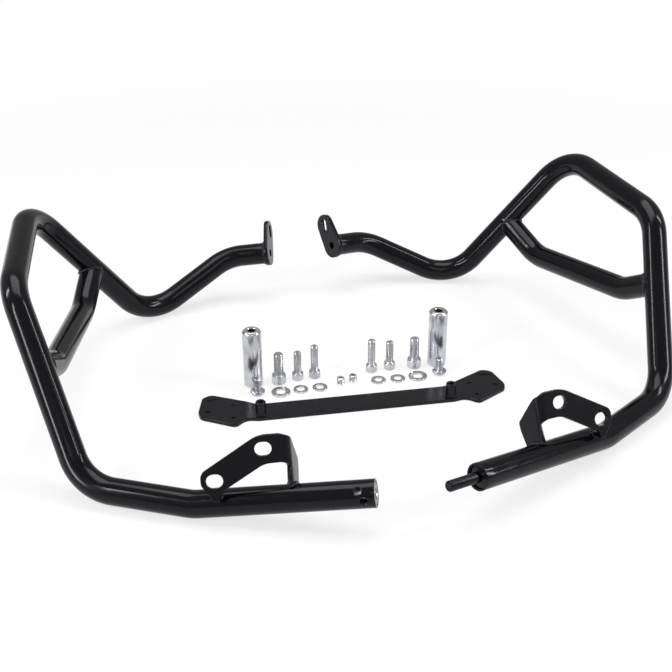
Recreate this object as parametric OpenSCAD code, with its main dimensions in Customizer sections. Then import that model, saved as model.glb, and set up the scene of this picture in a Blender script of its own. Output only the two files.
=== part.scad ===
// A pair of welded steel crash bars for a motorcycle, laid out with the flat brace, spacers and fixings that mount them.
// X runs from the left bar to the right one, Y away from the viewer, Z up. The floor that the set lies on is z = 0.

/* [Bars] */
// Distance from the middle of the set to the outermost bend of a bar
bar_reach = 331.5; // [326:0.5:337]
// Depth of a bar between its front and rear bends
bar_depth = 426.5; // [421:0.5:432]
// Rise of the highest bend above the lower runs
bar_height = 158; // [153:0.5:163]

/* [Tubes] */
// Outside diameter of the main tubes
tube_od = 25.4; // [24:0.1:28]
// Wall of the main tubes
tube_wall = 2; // [1.5:0.1:3]
// Outside diameter of the cross tubes
cross_od = 25.4; // [20:0.1:25.4]
// Centre line radius of every bend in a main tube
bend_radius = 50; // [45:0.5:54]
// Centre line radius of both bends in a cross tube
cross_bend_radius = 50; // [42:0.5:56]
// Gap for the weld between a coped end and the tube it meets
weld_gap = 0.3; // [0.2:0.05:0.6]

/* [Ends] */
// Straight length from the last upper bend corner to the tab
upper_end = 48.5; // [44:0.5:56]
// Straight length from the last lower bend corner to the right end
lower_end_right = 174.5; // [168:0.5:184]
// Straight length from the last lower bend corner to the left end
lower_end_left = 163.5; // [156:0.5:174]
// Turn of the straight ends away from square across, seen from above
end_yaw = 22.2; // [18:0.1:26]
// Rise of the straight ends towards the middle
end_rise = 8.9; // [7:0.1:11]
// Free gap round a turned piece that sits in a tube
fit_gap = 0.3; // [0.2:0.05:0.4]

/* [Upper tabs] */
// Thickness of the tab plate
tab_thick = 5; // [4:0.5:6]
// Radius of the lobe round the tube
tab_low_radius = 15; // [14:0.5:17]
// Radius of the lobe round the slot
tab_top_radius = 13; // [12:0.5:15]
// Distance from the tube axis to the slot centre
tab_reach = 27.5; // [25:0.5:32]
// Lean of the tab from level
tab_lean = 45; // [35:1:55]
// Width of the slot
tab_slot_width = 8.5; // [8:0.1:10]
// Travel of a bolt along the slot
tab_slot_travel = 7; // [4:0.5:9]
// Lean of the slot from level
tab_slot_lean = 66; // [55:1:75]
// Diameter of the hole on the tube axis
tab_hole = 8.5; // [6:0.1:9]

/* [Lower brackets] */
// Thickness of the bracket plate
bracket_thick = 5; // [4:0.5:5.5]
// Distance from the right tube end to the middle of the standing flange
bracket_from_end = 83.5; // [78:0.5:88]
// Distance of the fold in front of the tube axis
bracket_forward = 6.5; // [5:0.5:7.5]
// Lean of the bracket away from the viewer
bracket_lean = 25; // [23:0.5:27]
// Turn of the long plate from the tube axis
bracket_turn = 12; // [10:0.5:13]
// Inside radius of the bend between plate and flange
bracket_bend = 3; // [2:0.5:4]
// Distance from the fold to the inner hole
inner_hole_along = 21; // [20:0.5:23]
// Height of the inner hole above the tube axis
inner_hole_up = 46.5; // [45:0.5:48]
// Distance from the fold to the outer hole
outer_hole_along = 65; // [62:0.5:68]
// Height of the outer hole above the tube axis
outer_hole_up = 22.5; // [21.5:0.5:23.5]
// Width of both bracket holes
bracket_hole = 11.8; // [10:0.1:13]
// Travel of a bolt along a bracket hole
bracket_hole_travel = 3; // [1:0.1:4]

/* [Brace] */
// Thickness of the brace
brace_thick = 4; // [3:0.5:5]
// Width of the straight bar of the brace
brace_width = 27; // [25:0.5:30]
// Distance from the middle to each boss
boss_from_middle = 99; // [96:0.5:102]
// Diameter of the bosses
boss_diameter = 10.5; // [9.5:0.5:12]
// Height of the bosses above the plate
boss_height = 15; // [12:0.5:18]
// Bore of the bosses
boss_bore = 6; // [5:0.1:6.8]

/* [Spacers] */
// Diameter of the spacers
spacer_diameter = 20; // [18:0.5:22]
// Length of the spacers
spacer_length = 66; // [60:0.5:74]
// Bore of the spacers
spacer_bore = 8.5; // [8.2:0.1:11]
// Chamfer at the ends of a spacer
spacer_chamfer = 2; // [1:0.25:2.5]

/* [Fixings] */
// Shank diameter of the small screws
small_screw = 8; // [7:0.5:8]
// Shank diameter of the large screws
large_screw = 10; // [9:0.5:10]
// Thread length of the four shorter screws
short_screw = 25; // [20:1:30]
// Thread length of the two longer screws
long_screw = 30; // [25:1:35]
// Thread length of the two button head screws
button_screw = 15; // [12:0.5:18]
// Length of the grub screws
grub_length = 8; // [6:0.5:10]

/* [Hidden] */
$fn = 64;
black = [0.05, 0.05, 0.055];
satin = [0.12, 0.12, 0.13];
zinc = [0.78, 0.79, 0.8];

tube_r = tube_od / 2;
bore_r = tube_r - tube_wall;
cross_r = cross_od / 2;

// Direction of both straight ends, pointing to the middle of the motorcycle
inboard = [-cos(end_rise) * cos(end_yaw), -cos(end_rise) * sin(end_yaw), sin(end_rise)];
// Corner points of the right main tube, from the upper end to the lower one, above the axis of a tube that lies on the floor
lift = [0, 0.44, tube_r];
bar_middle = 34.25;
low_bend_drop = 0.2517 * bend_radius;
bar_rear = bar_middle + bar_depth / 2;
bar_front = bar_middle - bar_depth / 2;
corner_1 = lift + [87, bar_rear, 39];
corner_2 = lift + [191.5, bar_rear - 32, -low_bend_drop];
corner_3 = lift + [bar_reach - 21.5, bar_rear - 86, bar_height];
corner_4 = lift + [bar_reach, bar_rear - 249, bar_height - 13.5];
corner_5 = lift + [bar_reach - 40, bar_front + 53, 0];
corner_6 = lift + [200, bar_front, 0];
upper_tip = corner_1 + upper_end * inboard;
right_tip = corner_6 + lower_end_right * inboard;
left_tip = corner_6 + lower_end_left * inboard;
corners = [corner_1, corner_2, corner_3, corner_4, corner_5, corner_6];
right_route = concat([upper_tip], corners, [right_tip]);
left_route = concat([upper_tip], corners, [left_tip]);
// The cross tube joins the rear rise and the front fall of the main tube at these shares of their corner to corner length
rear_joint = corner_2 + 0.492 * (corner_3 - corner_2);
front_joint = corner_4 + 0.39 * (corner_5 - corner_4);
cross_corner_1 = rear_joint + [17.2, -53.4, -25.3];
cross_corner_2 = front_joint + [-12.9, 42.1, -24.6];
cross_route = [rear_joint, cross_corner_1, cross_corner_2, front_joint];

// Turned pieces in the tube ends
plug_r = bore_r - fit_gap;
plug_length = 28;
plug_recess = 1.5;
spigot_r = 5;
spigot_length = 35;
bush_bore_r = spigot_r + fit_gap;
bush_length = 40;
grub_hole_r = small_screw / 2 + fit_gap;
grub_holes = [[14.5, 44], [10, 84]];

// Bracket and brace outlines
bracket_lobe = 12;
fold_top = inner_hole_up + 9;
fold_bottom = inner_hole_up - 14;
leg_bottom = 2;
leg_angle = 55;
foot_depth = 11;
brace_centre = [-10, -45];
brace_yaw = -5.4;
brace_low = -7.5;
brace_holes = [[125, 21, 2.75], [127, -2, 2.25], [152, 13.5, 2.25]];
brace_slot = [145.5, 34.5, 2.75, 5];

// Places of the loose pieces on the floor
spacer_places = [[-102.5, 29.5], [99.5, 18.5]];
button_places = [[-102.5, 9], [95, -3]];
large_screw_places = [[-75.5, 27], [74, 20]];
short_screw_places = [[-54.5, 28.5], [47, 23.5]];
long_screw_places = [[-36, 28], [26.5, 23.5]];
grub_places = [[-13, 6], [1, 7.5]];
large_washer_places = [[-78.5, 5], [70.5, -3]];
small_washer_places = [[-57, 5], [-36.5, 3.5], [27.5, 1], [48.5, -1.5]];

function unit(v) = v / norm(v);
function turnAt(a, b, c) = acos(unit(b - a) * unit(c - b));
function cutBack(a, b, c, radius) = radius * tan(turnAt(a, b, c) / 2);
// Bends are a hair thinner than the straight runs, which lap over them, so that no two surfaces of a tube lie in one another
skin = 0.02;
lap = 0.05;
// Length that a bend takes off the straight piece next to corner i
function trim(route, i, radius) =
  cutBack(route[i - 1], route[i], route[i + 1], radius);

// Puts what it holds at a point, with its X and Z axes along two directions
module placed(origin, x, z) {
  y = cross(z, x);
  multmatrix([[x[0], y[0], z[0], origin[0]], [x[1], y[1], z[1], origin[1]], [x[2], y[2], z[2], origin[2]], [0, 0, 0, 1]])
    children();
}

// One straight run from a to b; a bore of 0 makes it solid
module run(a, b, outer, bore) {
  d = unit(b - a);
  side = unit(cross(d, abs(d[2]) < 0.9 ? [0, 0, 1] : [1, 0, 0]));
  placed(a, side, d) difference() {
    cylinder(r = outer, h = norm(b - a));
    if (bore > 0) translate([0, 0, -1]) cylinder(r = bore, h = norm(b - a) + 2);
  }
}

// One bend at corner b between a and c
module bend(a, b, c, radius, outer, bore) {
  d = unit(b - a);
  e = unit(c - b);
  axis = unit(cross(d, e));
  start = b - cutBack(a, b, c, radius) * d;
  toCentre = cross(axis, d);
  placed(start + radius * toCentre, -toCentre, axis)
    rotate_extrude(angle = turnAt(a, b, c)) translate([radius, 0]) difference() {
      circle(r = outer - skin);
      if (bore > 0) circle(r = bore + skin);
    }
}

module tube(route, radius, outer, bore) {
  last = len(route) - 1;
  for (i = [0:last - 1]) {
    d = unit(route[i + 1] - route[i]);
    from = route[i] + (i == 0 ? 0 : trim(route, i, radius) - lap) * d;
    to = route[i + 1] - (i == last - 1 ? 0 : trim(route, i + 1, radius) - lap) * d;
    run(from, to, outer, bore);
  }
  for (i = [1:last - 1]) bend(route[i - 1], route[i], route[i + 1], radius, outer, bore);
}

// Frame of a straight end: origin at the tip, X outwards along the tube, Z up
module endFrame(tip) translate(tip) rotate([0, end_rise, end_yaw]) children();

// Flat outline of two round lobes joined by their outer tangents
module lobes(a, ra, b, rb) {
  span = norm(b - a);
  heading = atan2(b[1] - a[1], b[0] - a[0]);
  swing = acos((ra - rb) / span);
  left = [cos(heading + swing), sin(heading + swing)];
  right = [cos(heading - swing), sin(heading - swing)];
  translate(a) circle(r = ra);
  translate(b) circle(r = rb);
  polygon([a + (ra - skin) * left, a + (ra - skin) * right, b + (rb - skin) * right, b + (rb - skin) * left]);
}

// Flat outline of a slot round a point
module slot(centre, r, travel, lean) {
  translate(centre) rotate(lean) {
    for (side = [-1, 1]) translate([side * travel / 2, 0]) circle(r = r);
    square([travel, 2 * r], center = true);
  }
}

// Stands a flat Y-Z outline up as a plate between two X values
module plateAcross(x, thick) translate([x, 0, 0]) rotate([90, 0, 90]) linear_extrude(height = thick) children();

module upperTab() {
  slotCentre = tab_reach * [cos(tab_lean), sin(tab_lean)];
  endFrame(upper_tip) plateAcross(-tab_thick, tab_thick) difference() {
    lobes([0, 0], tab_low_radius, slotCentre, tab_top_radius);
    circle(d = tab_hole);
    slot(slotCentre, tab_slot_width / 2, tab_slot_travel, tab_slot_lean);
  }
}

module lowerBracket() {
  half = bracket_thick / 2;
  turn = 90 - bracket_turn;
  middle = bracket_bend + half;
  setBack = middle * tan(turn / 2);
  inner = [inner_hole_along, inner_hole_up];
  outer = [outer_hole_along, outer_hole_up];
  corner = [20.9, fold_top - 21.3];
  // a part of the bend, seen from above, between two heights
  module fold(angle, bottom, top, inset) translate([middle, setBack, bottom]) rotate(180) rotate_extrude(angle = angle)
    translate([bracket_bend + inset, 0]) square([bracket_thick - 2 * inset, top - bottom]);
  endFrame(right_tip) difference() {
    rotate([-bracket_lean, 0, 0]) translate([bracket_from_end, -bracket_forward, 0]) {
      // standing flange, down to the tube
      plateAcross(-half, bracket_thick) {
        polygon([[setBack - lap, 0], [19.2, 0], corner + [3.94, -0.66], corner + [2.82, 2.82], [setBack + 1.5, fold_top - 1],
          [setBack - lap, fold_top]]);
        translate(corner) circle(r = 4);
      }
      fold(turn, fold_bottom, fold_top - skin, skin);
      fold(leg_angle, leg_bottom, fold_bottom + lap, 2 * skin);
      // long plate with both holes, and the foot at its outer end
      rotate([0, 0, -bracket_turn]) {
        rotate([90, 0, 0]) translate([0, 0, -half]) linear_extrude(height = bracket_thick) difference() {
          union() {
            polygon([[setBack - lap, fold_bottom - skin], [inner[0], inner[1] - bracket_lobe + skin], inner,
              inner + [-2.2, bracket_lobe - 0.3], [setBack - lap, fold_top]]);
            lobes(inner, bracket_lobe, outer, bracket_lobe);
            polygon([outer + [11, -4.7], outer, outer + [-13, -5.5], outer + [-8, -13], outer + [-3, -17.5], outer + [2, -17.5]]);
          }
          slot(inner, bracket_hole / 2, bracket_hole_travel, 0);
          slot(outer, bracket_hole / 2, bracket_hole_travel, 0);
        }
        translate([outer[0] - 5, half - lap, outer[1] - 15.5]) cube([8, foot_depth, 4.5]);
      }
    }
    // cope for the main tube
    rotate([0, 90, 0]) cylinder(r = tube_r + weld_gap, h = 200);
  }
}

module crossTube() difference() {
  tube(cross_route, cross_bend_radius, cross_r, cross_r - tube_wall);
  run(corner_2, corner_3, tube_r + weld_gap, 0);
  run(corner_4, corner_5, tube_r + weld_gap, 0);
}

// Radial holes for the two grub screws: distance from the left tip, and lean from upright towards the viewer
module grubHoles(r) for (h = grub_holes)
  endFrame(left_tip) translate([h[0], 0, 0]) rotate([h[1], 0, 0]) translate([0, 0, 3]) cylinder(r = r, h = tube_r);

module leftMainTube() difference() {
  tube(left_route, bend_radius, tube_r, bore_r);
  grubHoles(grub_hole_r);
}

module rightEndSpigot() endFrame(right_tip) rotate([0, 90, 0]) {
  translate([0, 0, plug_recess]) cylinder(r = plug_r, h = plug_length);
  translate([0, 0, -spigot_length + 1]) cylinder(r = spigot_r, h = spigot_length + plug_recess);
  translate([0, 0, -spigot_length]) cylinder(r1 = spigot_r - 1, r2 = spigot_r, h = 1);
}

module leftEndBush() difference() {
  endFrame(left_tip) rotate([0, 90, 0]) difference() {
    cylinder(r = plug_r, h = bush_length);
    translate([0, 0, -1]) cylinder(r = bush_bore_r, h = bush_length + 2);
    translate([0, 0, -0.01]) cylinder(r1 = bush_bore_r + 1.3, r2 = bush_bore_r, h = 1.3);
  }
  grubHoles(small_screw / 2 - 0.6);
}

module braceFrame() translate([brace_centre[0], brace_centre[1], 0]) rotate(brace_yaw) children();

// The right half of the brace outline, then the same points mirrored
module braceOutline() {
  top = brace_low + brace_width;
  half = [[102, brace_low], [108, brace_low + 1], [114.5, -4.5], [123, -13], [126, -14.5], [130, -14.3], [158, 4], [160.5, 8],
    [161, 14], [156.5, 38], [153.5, 42.5], [148, 44.5], [142, 44], [112, 27.5], [103, top + 1.5], [95, top]];
  polygon(concat(half, [for (i = [len(half) - 1:-1:0]) [-half[i][0], half[i][1]]]));
}

module bracePlate() braceFrame() linear_extrude(height = brace_thick) difference() {
  braceOutline();
  for (side = [-1, 1]) {
    for (h = brace_holes) translate([side * h[0], h[1]]) circle(r = h[2]);
    slot([side * brace_slot[0], brace_slot[1]], brace_slot[2], brace_slot[3] * 2, -10 * side);
  }
}

module braceBosses() braceFrame() for (side = [-1, 1]) translate([side * boss_from_middle, 0, brace_thick]) {
  difference() {
    union() {
      cylinder(d = boss_diameter, h = boss_height - 1);
      translate([0, 0, boss_height - 1]) cylinder(d1 = boss_diameter, d2 = boss_diameter - 1.6, h = 1);
    }
    translate([0, 0, 2]) cylinder(d = boss_bore, h = boss_height);
  }
}

// Spacer standing on its end
module spacer(place) translate([place[0], place[1], 0]) rotate_extrude() {
  r = spacer_diameter / 2;
  b = spacer_bore / 2;
  c = spacer_chamfer;
  polygon([[b + 0.8, 0], [r - c, 0], [r, c], [r, spacer_length - c], [r - c, spacer_length], [b + 0.8, spacer_length],
    [b, spacer_length - 0.8], [b, 0.8]]);
}

// Hexagonal socket, cut upwards from z = 0
module socket(flats, deep) {
  translate([0, 0, -0.01]) cylinder(r = flats / sqrt(3), h = deep, $fn = 6);
  translate([0, 0, deep - 0.02]) cylinder(r1 = flats / 2, r2 = 0.3, h = flats / 4);
}

// Socket head screw standing on its head
module capScrew(place, d, length) translate([place[0], place[1], 0]) difference() {
  rotate_extrude() polygon([[0, 0], [0.75 * d - 0.8, 0], [0.75 * d, 0.8], [0.75 * d, d - 0.3], [0.75 * d - 0.3, d],
    [d / 2, d], [d / 2, d + length - 1], [d / 2 - 1, d + length], [0, d + length]]);
  socket(0.75 * d, d / 2);
}

// Button head screw with a small flange, standing on its head
module buttonScrew(place) translate([place[0], place[1], 0]) difference() {
  d = small_screw;
  rotate_extrude() polygon([[0, 0], [3.9, 0], [5.2, 0.6], [6.3, 1.8], [6.8, 3.2], [7.75, 3.4], [7.75, 4.6], [d / 2, 4.6],
    [d / 2, 3.6 + button_screw], [d / 2 - 1, 4.6 + button_screw], [0, 4.6 + button_screw]]);
  socket(5, 2.6);
}

// Grub screw standing with its socket up
module grubScrew(place) translate([place[0], place[1], 0]) difference() {
  r = small_screw / 2;
  rotate_extrude() polygon([[0, 0], [r - 1, 0], [r, 1], [r, grub_length - 0.5], [r - 0.5, grub_length], [0, grub_length]]);
  translate([0, 0, grub_length]) mirror([0, 0, 1]) socket(4, 3.5);
}

module washer(place, outer, hole, thick) translate([place[0], place[1], 0]) difference() {
  cylinder(d = outer, h = thick);
  translate([0, 0, -1]) cylinder(d = hole, h = thick + 2);
}

module right_main_tube() color(black) tube(right_route, bend_radius, tube_r, bore_r);
module right_cross_tube() color(black) crossTube();
module right_upper_tab() color(satin) upperTab();
module right_lower_bracket() color(satin) lowerBracket();
module right_end_spigot() color(satin) rightEndSpigot();
module left_main_tube() color(black) mirror([1, 0, 0]) leftMainTube();
module left_cross_tube() color(black) mirror([1, 0, 0]) crossTube();
module left_upper_tab() color(satin) mirror([1, 0, 0]) upperTab();
module left_lower_bracket() color(satin) mirror([1, 0, 0]) lowerBracket();
module left_end_bush() color(zinc) mirror([1, 0, 0]) leftEndBush();
module brace_plate() color(satin) bracePlate();
module brace_bosses() color(satin) braceBosses();
module left_spacer() color(zinc) spacer(spacer_places[0]);
module right_spacer() color(zinc) spacer(spacer_places[1]);
module large_cap_screws() color(zinc) for (p = large_screw_places) capScrew(p, large_screw, short_screw);
module short_cap_screws() color(zinc) for (p = short_screw_places) capScrew(p, small_screw, short_screw);
module long_cap_screws() color(zinc) for (p = long_screw_places) capScrew(p, small_screw, long_screw);
module button_screws() color(zinc) for (p = button_places) buttonScrew(p);
module grub_screws() color(zinc) for (p = grub_places) grubScrew(p);
module large_washers() color(zinc) for (p = large_washer_places) washer(p, 2 * large_screw, large_screw + 0.5, 2);
module small_washers() color(zinc) for (p = small_washer_places) washer(p, 2 * small_screw, small_screw + 0.4, 1.6);

right_main_tube();
right_cross_tube();
right_upper_tab();
right_lower_bracket();
right_end_spigot();
left_main_tube();
left_cross_tube();
left_upper_tab();
left_lower_bracket();
left_end_bush();
brace_plate();
brace_bosses();
left_spacer();
right_spacer();
large_cap_screws();
short_cap_screws();
long_cap_screws();
button_screws();
grub_screws();
large_washers();
small_washers();
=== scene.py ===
import math
import bpy
import bmesh
import numpy as np
from mathutils import Matrix


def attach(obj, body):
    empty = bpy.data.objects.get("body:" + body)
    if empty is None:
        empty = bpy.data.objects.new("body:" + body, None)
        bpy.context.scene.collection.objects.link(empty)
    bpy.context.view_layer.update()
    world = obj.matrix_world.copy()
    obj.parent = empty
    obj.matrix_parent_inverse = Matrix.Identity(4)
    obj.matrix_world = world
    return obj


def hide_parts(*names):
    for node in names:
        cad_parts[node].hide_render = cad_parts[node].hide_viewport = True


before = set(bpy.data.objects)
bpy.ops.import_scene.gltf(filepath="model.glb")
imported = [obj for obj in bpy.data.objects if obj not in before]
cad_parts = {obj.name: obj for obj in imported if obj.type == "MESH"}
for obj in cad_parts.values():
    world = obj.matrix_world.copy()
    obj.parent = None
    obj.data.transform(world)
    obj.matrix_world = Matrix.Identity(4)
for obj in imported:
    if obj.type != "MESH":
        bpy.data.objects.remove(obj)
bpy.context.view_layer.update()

mm = 0.001
tau = 2 * math.pi
quarterTurn = math.pi / 2


# Small helpers. Shapes are worked out in millimetres and scaled by mm as they become a mesh.
# The vector divided by its length, row by row
def unit(vector):
    vector = np.asarray(vector, float)
    return vector / np.linalg.norm(vector, axis=-1, keepdims=True)


# Rodrigues' turn: v cos a + (axis x v) sin a + axis (axis . v)(1 - cos a), for an array of angles
def turned(vector, axis, angle):
    a = np.asarray(angle, float)[..., None]
    alongAxis = axis * np.dot(vector, axis)
    return vector * np.cos(a) + np.cross(axis, vector) * np.sin(a) + alongAxis * (1 - np.cos(a))


# Quads between neighbours (i, j), (i, j+1), (i+1, j+1), (i+1, j) of a grid, wrapped where asked
def gridFaces(rows, columns, wrapRows=False, wrapColumns=True):
    i = np.arange(rows if wrapRows else rows - 1)[:, None]
    j = np.arange(columns if wrapColumns else columns - 1)[None, :]
    i2 = (i + 1) % rows
    j2 = (j + 1) % columns
    quads = np.stack([i * columns + j, i * columns + j2, i2 * columns + j2, i2 * columns + j], axis=-1)
    return quads.reshape(-1, 4)


# The same points on the other side of x = 0, for the left bar
def mirrored(points):
    return np.asarray(points, float) * [-1, 1, 1]


# The same points, for the right bar
def kept(points):
    return np.asarray(points, float)


# Merges doubles, turns normals outwards, smooths all faces and marks edges sharper than the angle
def finishMesh(mesh, sharpAngle=35, merge=2e-6):
    work = bmesh.new()
    work.from_mesh(mesh)
    bmesh.ops.remove_doubles(work, verts=work.verts, dist=merge)
    bmesh.ops.recalc_face_normals(work, faces=work.faces)
    work.to_mesh(mesh)
    work.free()
    mesh.polygons.foreach_set("use_smooth", [True] * len(mesh.polygons))
    mesh.set_sharp_from_angle(angle=math.radians(sharpAngle))


# Puts a mesh into the scene as a piece that rides on the set, stands for CAD nodes and takes a finish
def addPiece(name, mesh, material, nodes=()):
    piece = bpy.data.objects.new(name, mesh)
    bpy.context.scene.collection.objects.link(piece)
    mesh.materials.clear()
    mesh.materials.append(material)
    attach(piece, "root")
    if nodes:
        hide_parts(*nodes)
    return piece


# One mesh from several grids, each given as (rows x columns of points in mm, wrapRows, wrapColumns)
def meshOfGrids(name, grids, sharpAngle=35):
    points, faces, start = [], [], 0
    for grid, wrapRows, wrapColumns in grids:
        rows, columns = grid.shape[:2]
        points.append(grid.reshape(-1, 3))
        faces.append(gridFaces(rows, columns, wrapRows, wrapColumns) + start)
        start += rows * columns
    mesh = bpy.data.meshes.new(name)
    mesh.from_pydata((np.concatenate(points) * mm).tolist(), [], np.concatenate(faces).tolist())
    finishMesh(mesh, sharpAngle)
    return mesh


# Shader nodes with short calls: add one, read coordinates, make noise, blend colours, stack bumps
class Nodes:
    def __init__(self, name):
        self.material = bpy.data.materials.new(name)
        self.material.use_nodes = True
        self.tree = self.material.node_tree
        self.shader = self.tree.nodes["Principled BSDF"]

    # Links a socket to an input, or writes a plain value into it
    def feed(self, socket, value):
        if isinstance(value, bpy.types.NodeSocket):
            self.tree.links.new(value, socket)
        else:
            socket.default_value = value

    def add(self, kind, inputs=None, **settings):
        node = self.tree.nodes.new(kind)
        for key, value in settings.items():
            setattr(node, key, value)
        for key, value in (inputs or {}).items():
            self.feed(node.inputs[key], value)
        return node

    def coords(self, scale=None):
        place = self.add("ShaderNodeTexCoord").outputs["Object"]
        if scale is None:
            return place
        return self.add("ShaderNodeMapping", {"Vector": place, "Scale": scale}).outputs["Vector"]

    def noise(self, scale, detail=3.0, roughness=0.5, vector=None):
        node = self.add("ShaderNodeTexNoise", {"Scale": scale, "Detail": detail, "Roughness": roughness})
        self.tree.links.new(vector or self.coords(), node.inputs["Vector"])
        return node.outputs["Fac"]

    def between(self, value, low, high, fromLow=0.0, fromHigh=1.0):
        node = self.add("ShaderNodeMapRange", {"Value": value, "From Min": fromLow, "From Max": fromHigh,
                                               "To Min": low, "To Max": high})
        return node.outputs["Result"]

    def blend(self, factor, first, second):
        node = self.add("ShaderNodeMix", {0: factor}, data_type="RGBA")
        self.feed(node.inputs[6], linear(*first))
        self.feed(node.inputs[7], linear(*second))
        return node.outputs[2]

    # Bump nodes one after the other, each (height, distance in mm, strength)
    def bumps(self, layers):
        last = None
        for height, distance, strength in layers:
            node = self.add("ShaderNodeBump", {"Height": height, "Distance": distance * mm,
                                               "Strength": strength})
            if last is not None:
                self.tree.links.new(last, node.inputs["Normal"])
            last = node.outputs["Normal"]
        return last

    def set(self, **values):
        for key, value in values.items():
            self.feed(self.shader.inputs[key.replace("_", " ")], value)


# sRGB 0-255 to linear: ((c + 0.055) / 1.055) ^ 2.4 above 0.04
def linear(r, g, b):
    c = np.array([r, g, b]) / 255
    return (*np.where(c <= 0.04045, c / 12.92, ((c + 0.055) / 1.055) ** 2.4).tolist(), 1.0)


# Finishes. Sizes and depths are in mm, noise scales in waves to the metre, colours in sRGB 0-255
blackTint = (0.92, 0.90, 1.0, 1.0)
glossCoat = {
    "colour": (6, 6, 8), "dustColour": (13, 13, 16), "roughness": 0.13, "shine": 0.23,
    "dustScale": 60, "speckScale": 1400, "wipeScale": 90, "waveScale": 45, "peelSize": 4.5,
    "waveDepth": 0.2, "peelDepth": 0.0015, "speckDepth": 0.002,
}


# Deep black paint under a gloss: slow orange peel, a breath of dust and fine wiping marks
def glossBlack():
    n = Nodes("glossBlack")
    v = glossCoat
    dust = n.noise(v["dustScale"], 5, 0.65)
    speck = n.noise(v["speckScale"], 2, 0.5)
    wipe = n.noise(v["wipeScale"], 4, 0.6, n.coords((1.0, 1.0, 6.0)))
    n.set(Base_Color=n.blend(n.between(dust, 0.0, 0.5, 0.45, 0.75), v["colour"], v["dustColour"]))
    n.set(Roughness=n.between(wipe, v["roughness"] - 0.03, v["roughness"] + 0.08, 0.3, 0.75))
    n.set(Specular_IOR_Level=v["shine"], Specular_Tint=blackTint)
    peel = n.noise(1000 / v["peelSize"], 2, 0.4)
    wave = n.noise(v["waveScale"], 1, 0.3)
    n.set(Normal=n.bumps([(wave, v["waveDepth"], 0.12), (peel, v["peelDepth"], 0.7),
                          (speck, v["speckDepth"], 0.5)]))
    return n.material


satinCoat = {
    "colour": (9, 9, 12), "wornColour": (16, 16, 20), "roughness": 0.20, "shine": 0.27,
    "rubScale": 38, "grainSize": 0.9, "grainDepth": 0.005,
}


# Powder coat: fine pebbled grain, a little greyer where handling has rubbed it
def satinBlack():
    n = Nodes("satinBlack")
    v = satinCoat
    rub = n.noise(v["rubScale"], 5, 0.6)
    grain = n.noise(1000 / v["grainSize"], 2, 0.55)
    n.set(Base_Color=n.blend(n.between(rub, 0.0, 0.8, 0.48, 0.8), v["colour"], v["wornColour"]))
    n.set(Roughness=n.between(rub, v["roughness"] + 0.05, v["roughness"] - 0.06, 0.3, 0.8))
    n.set(Specular_IOR_Level=v["shine"], Specular_Tint=blackTint)
    n.set(Normal=n.bumps([(grain, v["grainDepth"], 0.9)]))
    return n.material


zincPlate = {
    "colour": (208, 209, 212), "dullColour": (174, 175, 182), "roughness": 0.19,
    "cloudScale": 70, "scratchScale": 420, "scratchDepth": 0.008,
}


# Bright zinc: a faint cloud in the plating and fine scratches round the piece
def zinc():
    n = Nodes("zinc")
    v = zincPlate
    cloud = n.noise(v["cloudScale"], 3, 0.5)
    scratch = n.noise(v["scratchScale"], 3, 0.6, n.coords((1.0, 1.0, 5.0)))
    n.set(Base_Color=n.blend(n.between(cloud, 0.0, 1.0, 0.35, 0.7), v["colour"], v["dullColour"]))
    n.set(Metallic=1.0)
    n.set(Roughness=n.between(scratch, v["roughness"] - 0.05, v["roughness"] + 0.08, 0.3, 0.7))
    n.set(Normal=n.bumps([(scratch, v["scratchDepth"], 0.5)]))
    return n.material


turnedSteel = {
    "colour": (196, 196, 200), "darkColour": (132, 132, 138), "roughness": 0.28,
    "cloudScale": 150, "markScale": 900, "markDepth": 0.015,
}


# Turned steel: fine tool marks and a dull cloud
def bareSteel():
    n = Nodes("bareSteel")
    v = turnedSteel
    cloud = n.noise(v["cloudScale"], 4, 0.6)
    marks = n.noise(v["markScale"], 2, 0.5)
    n.set(Base_Color=n.blend(n.between(cloud, 0.0, 1.0, 0.35, 0.7), v["colour"], v["darkColour"]))
    n.set(Metallic=1.0)
    n.set(Roughness=n.between(marks, v["roughness"] - 0.06, v["roughness"] + 0.12))
    n.set(Normal=n.bumps([(marks, v["markDepth"], 0.6)]))
    return n.material


weldCoat = {
    "colour": (7, 7, 9), "grainColour": (18, 18, 21), "roughness": 0.17, "shine": 0.28,
    "grainScale": 800, "lumpScale": 300, "lumpDepth": 0.12, "grainDepth": 0.02,
}


# Painted weld: the gloss coat over small beads, with spatter grain
def paintedWeld():
    n = Nodes("paintedWeld")
    v = weldCoat
    grain = n.noise(v["grainScale"], 3, 0.6)
    lump = n.noise(v["lumpScale"], 2, 0.5)
    n.set(Base_Color=n.blend(grain, v["colour"], v["grainColour"]))
    n.set(Roughness=n.between(grain, v["roughness"] - 0.06, v["roughness"] + 0.1, 0.3, 0.7))
    n.set(Specular_IOR_Level=v["shine"], Specular_Tint=blackTint)
    n.set(Normal=n.bumps([(lump, v["lumpDepth"], 0.5), (grain, v["grainDepth"], 0.6)]))
    return n.material


gloss = glossBlack()
satin = satinBlack()
plated = zinc()
steel = bareSteel()
weld = paintedWeld()
print("materials made")

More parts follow.
